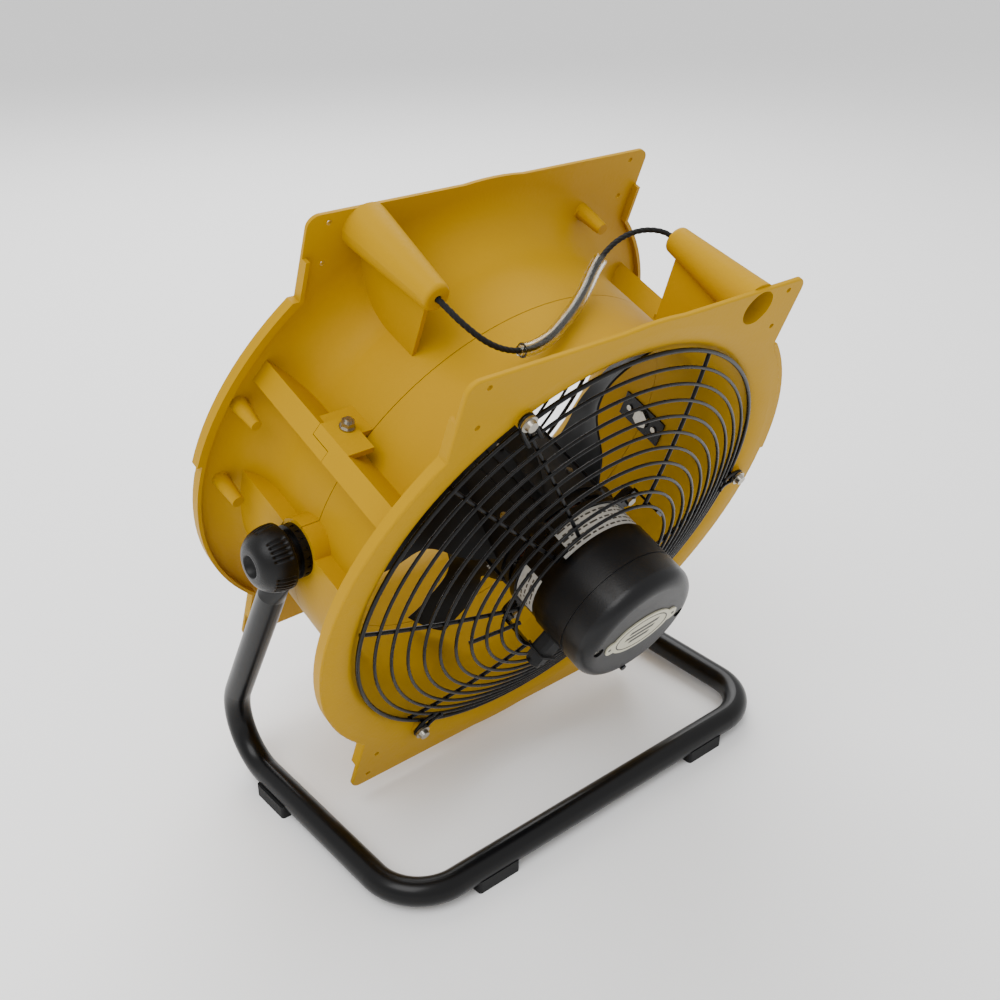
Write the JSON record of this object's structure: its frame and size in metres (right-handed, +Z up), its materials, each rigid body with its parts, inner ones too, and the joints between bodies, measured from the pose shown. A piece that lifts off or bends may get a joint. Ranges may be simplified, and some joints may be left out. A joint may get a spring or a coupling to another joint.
{
  "type": "tilting floor air mover",
  "caption": "Free-standing axial air mover: round moulded duct with wire guards and hub motor, tilting in a bent-tube floor stand with clamp knobs.",
  "frame": {"origin": "on the floor under the middle of the object's width and depth", "axes": "+Z up, +X to the right as seen from the motor side, motor side towards -Y"},
  "size_m": [0.518, 0.3963, 0.5676],
  "materials": {
    "yellow_moulding": "rotationally moulded yellow, satin gloss",
    "stand_black": "gloss black powder coat",
    "foot_rubber": "matt",
    "zinc_steel": "zinc plated",
    "guard_wire": "black coated wire",
    "motor_black": "semi-gloss black",
    "badge_cream": "gloss, blank",
    "label_white": "printed label, blank blocks",
    "gland_rubber": "matt",
    "gland_plastic": "matt",
    "lamination": "laminated steel",
    "copper": "enamelled copper",
    "motor_aluminium": "cast",
    "ground_steel": "ground",
    "capacitor_shell": "matt",
    "terminal_white": "matt",
    "rotor_black": "black",
    "blade_black": "satin black",
    "bracket_black": "black",
    "disc_black": "ribbed",
    "brass_insert": "threaded",
    "knob_black": "satin",
    "rope_fibre": "laid black rope",
    "grip_clear": "clear flexible tube",
    "tie_clear": "clear tie ring"
  },
  "bodies": {
    "stand": {"stand_tube": "stand_black", "foot_front_left": "foot_rubber", "foot_front_right": "foot_rubber", "foot_rear_left": "foot_rubber", "foot_rear_right": "foot_rubber"},
    "housing": {"bearing_front": "ground_steel", "bearing_rear": "ground_steel", "bearing_tube": "motor_aluminium", "bracket_screws_left": "zinc_steel", "bracket_screws_right": "zinc_steel", "cap_screws": "zinc_steel", "capacitor": "capacitor_shell", "carry_rope": "rope_fibre", "end_badge": "badge_cream", "friction_disc_left": "disc_black", "friction_disc_right": "disc_black", "gland_block": "gland_rubber", "gland_nut": "gland_plastic", "grip_tie": "tie_clear", "guard_motor_side": "guard_wire", "guard_outlet_side": "guard_wire", "guard_screws_motor_side": "zinc_steel", "guard_screws_outlet_side": "zinc_steel", "housing_motor_side": "yellow_moulding", "housing_outlet_side": "yellow_moulding", "joint_bolts": "zinc_steel", "joint_nuts": "zinc_steel", "joint_washers": "zinc_steel", "label_plates": "label_white", "motor_cap": "motor_black", "motor_flange": "motor_black", "pivot_bolt_left": "zinc_steel", "pivot_bolt_right": "zinc_steel", "pivot_bracket_left": "bracket_black", "pivot_bracket_right": "bracket_black", "rope_grip": "grip_clear", "rope_knots": "rope_fibre", "stator_core": "lamination", "stator_windings": "copper", "strap_screws": "zinc_steel", "terminal_block": "terminal_white", "wiring_plate": "motor_aluminium"},
    "rotor": {"shaft": "ground_steel", "shaft_circlip": "ground_steel", "rotor_can": "rotor_black", "rotor_core": "lamination", "blade_rivets": "zinc_steel", "blade_1": "blade_black", "blade_2": "blade_black", "blade_3": "blade_black", "blade_4": "blade_black", "blade_5": "blade_black"},
    "washer_left": {"knob_washer_left": "zinc_steel"},
    "washer_right": {"knob_washer_right": "zinc_steel"},
    "knob_left": {"knob_left": "knob_black", "knob_insert_left": "brass_insert"},
    "knob_right": {"knob_right": "knob_black", "knob_insert_right": "brass_insert"}
  },
  "joints": [
    {"name": "tilt", "type": "hinge", "parent": "stand", "child": "housing", "pos_m": [0, 0.011, 0.294], "axis": [1, 0, 0], "range_deg": [-19, 35]},
    {"name": "impeller_spin", "type": "hinge", "parent": "housing", "child": "rotor", "pos_m": [0, 0.011, 0.294], "axis": [0, -0.9336, -0.3584], "continuous": true},
    {"name": "knob_travel_left", "type": "slide", "parent": "housing", "child": "washer_left", "axis": [-1, 0, 0], "range_m": [0, 0.0016]},
    {"name": "knob_turn_left", "type": "hinge", "parent": "washer_left", "child": "knob_left", "pos_m": [-0.245, 0.011, 0.294], "axis": [-1, 0, 0], "range_deg": [0, 360]},
    {"name": "knob_travel_right", "type": "slide", "parent": "housing", "child": "washer_right", "axis": [1, 0, 0], "range_m": [0, 0.0016]},
    {"name": "knob_turn_right", "type": "hinge", "parent": "washer_right", "child": "knob_right", "pos_m": [0.245, 0.011, 0.294], "axis": [1, 0, 0], "range_deg": [0, 360]}
  ],
  "couplings": [
    {"joint": "knob_travel_left", "follows": "knob_turn_left", "m_per_rad": 0.00023873},
    {"joint": "knob_travel_right", "follows": "knob_turn_right", "m_per_rad": 0.00023873}
  ]
}
